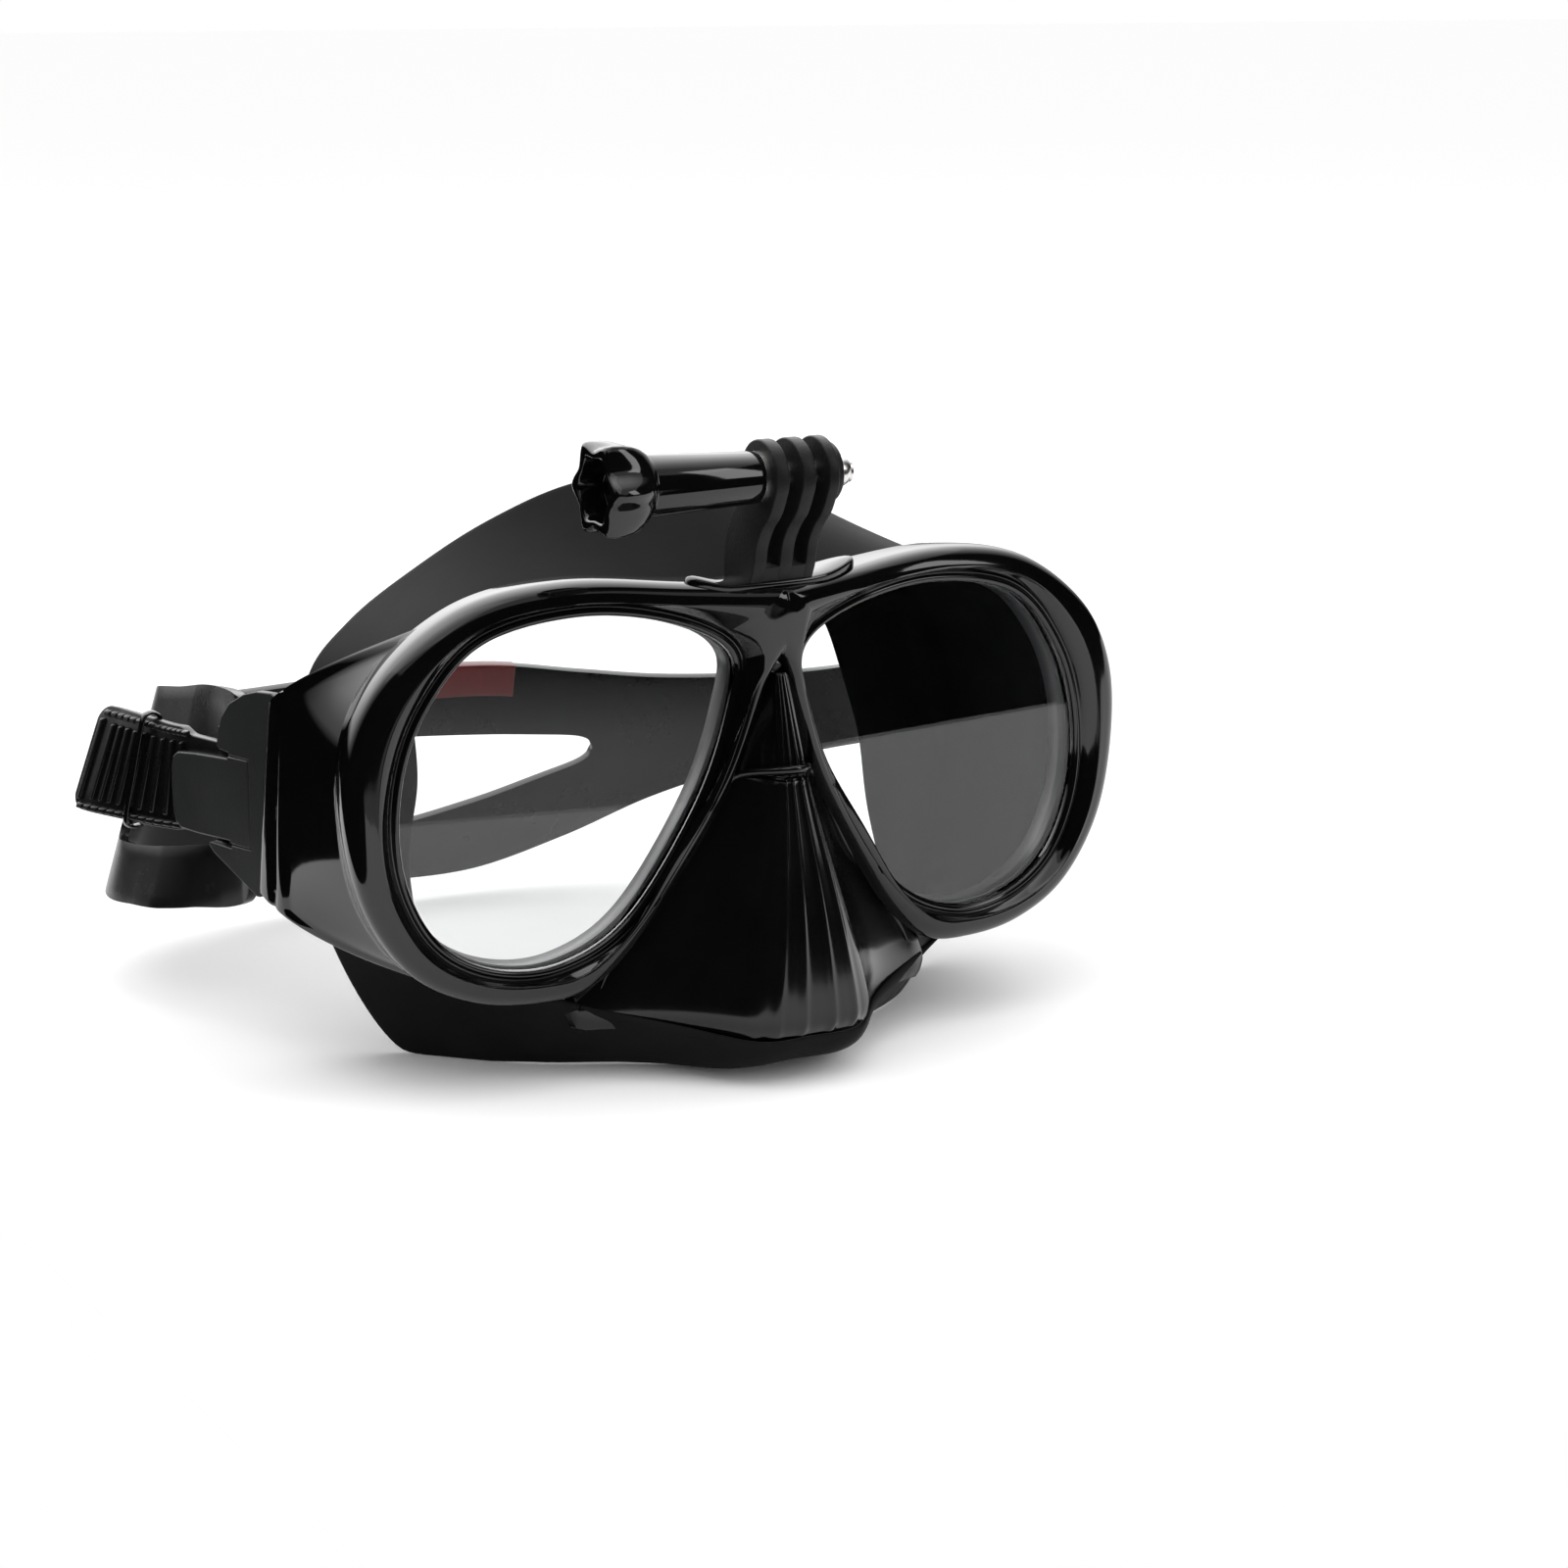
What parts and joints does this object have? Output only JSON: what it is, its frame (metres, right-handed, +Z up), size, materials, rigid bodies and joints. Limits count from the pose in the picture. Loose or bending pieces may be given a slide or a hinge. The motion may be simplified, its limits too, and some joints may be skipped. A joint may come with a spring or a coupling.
{
  "type": "snorkel mask",
  "caption": "Two-lens diving mask with a soft skirt and nose pocket, an accessory clamp on the brow, side buckles and a split head strap.",
  "frame": {"origin": "under the middle of the whole mask, on the surface that it stands on", "axes": "+X to the right of someone who faces the lenses, +Y back towards the strap, +Z up"},
  "size_m": [0.2216, 0.1812, 0.1346],
  "materials": {
    "gloss_black": "polished moulded polycarbonate",
    "matte_black": "fine sparked nylon",
    "matte_grey": "satin moulded plastic",
    "lens_glass": "polished tempered glass",
    "skirt_silicone": "smooth black silicone",
    "strap_silicone": "glossy black silicone",
    "accent_red": "satin red silicone",
    "steel": "stainless steel"
  },
  "bodies": {
    "mask": {"front_bezel": "gloss_black", "inner_frame": "gloss_black", "nose_bridge": "gloss_black", "lens_left": "lens_glass", "lens_right": "lens_glass", "lens_seal_left": "skirt_silicone", "lens_seal_right": "skirt_silicone", "skirt": "skirt_silicone", "accessory_mount": "matte_black", "dome_nut": "steel", "swivel_pin_left": "steel", "swivel_pin_right": "steel"},
    "screw_carriage": {"screw_washer": "steel"},
    "thumb_screw": {"thumb_knob": "gloss_black", "screw_shank": "steel"},
    "head_strap": {"buckle_body_left": "gloss_black", "buckle_body_right": "gloss_black", "buckle_cover_left": "matte_grey", "buckle_cover_right": "matte_grey", "tab_pin_left": "steel", "tab_pin_right": "steel", "roller_pin_left": "steel", "roller_pin_right": "steel", "strap": "strap_silicone", "strap_accent": "accent_red", "strap_keeper_left": "strap_silicone", "strap_keeper_right": "strap_silicone"},
    "tab_left": {"buckle_tab_left": "matte_grey"},
    "tab_right": {"buckle_tab_right": "matte_grey"},
    "roller_left": {"strap_roller_left": "matte_grey"},
    "roller_right": {"strap_roller_right": "matte_grey"}
  },
  "joints": [
    {"name": "screw_travel", "type": "slide", "parent": "mask", "child": "screw_carriage", "axis": [-1, 0, 0], "range_m": [0, 0.0032]},
    {"name": "screw_turn", "type": "hinge", "parent": "screw_carriage", "child": "thumb_screw", "pos_m": [0, -0.07935, 0.1258], "axis": [-1, 0, 0], "range_deg": [0, 1440]},
    {"name": "strap_swing", "type": "hinge", "parent": "mask", "child": "head_strap", "pos_m": [0, -0.03035, 0.057], "axis": [1, 0, 0], "range_deg": [-4, 12]},
    {"name": "tab_lift_left", "type": "hinge", "parent": "head_strap", "child": "tab_left", "pos_m": [-0.09287, -0.01659, 0.057], "axis": [0, 0, 1], "range_deg": [0, 12], "stiffness_Nm_per_rad": 0.02},
    {"name": "tab_lift_right", "type": "hinge", "parent": "head_strap", "child": "tab_right", "pos_m": [0.09287, -0.01659, 0.057], "axis": [0, 0, -1], "range_deg": [0, 12], "stiffness_Nm_per_rad": 0.02},
    {"name": "roller_turn_left", "type": "hinge", "parent": "head_strap", "child": "roller_left", "pos_m": [-0.09, -0.00435, 0.057], "axis": [0, 0, 1], "continuous": true},
    {"name": "roller_turn_right", "type": "hinge", "parent": "head_strap", "child": "roller_right", "pos_m": [0.09, -0.00435, 0.057], "axis": [0, 0, 1], "continuous": true}
  ],
  "couplings": [
    {"joint": "screw_turn", "follows": "screw_travel", "rad_per_m": 7854}
  ]
}
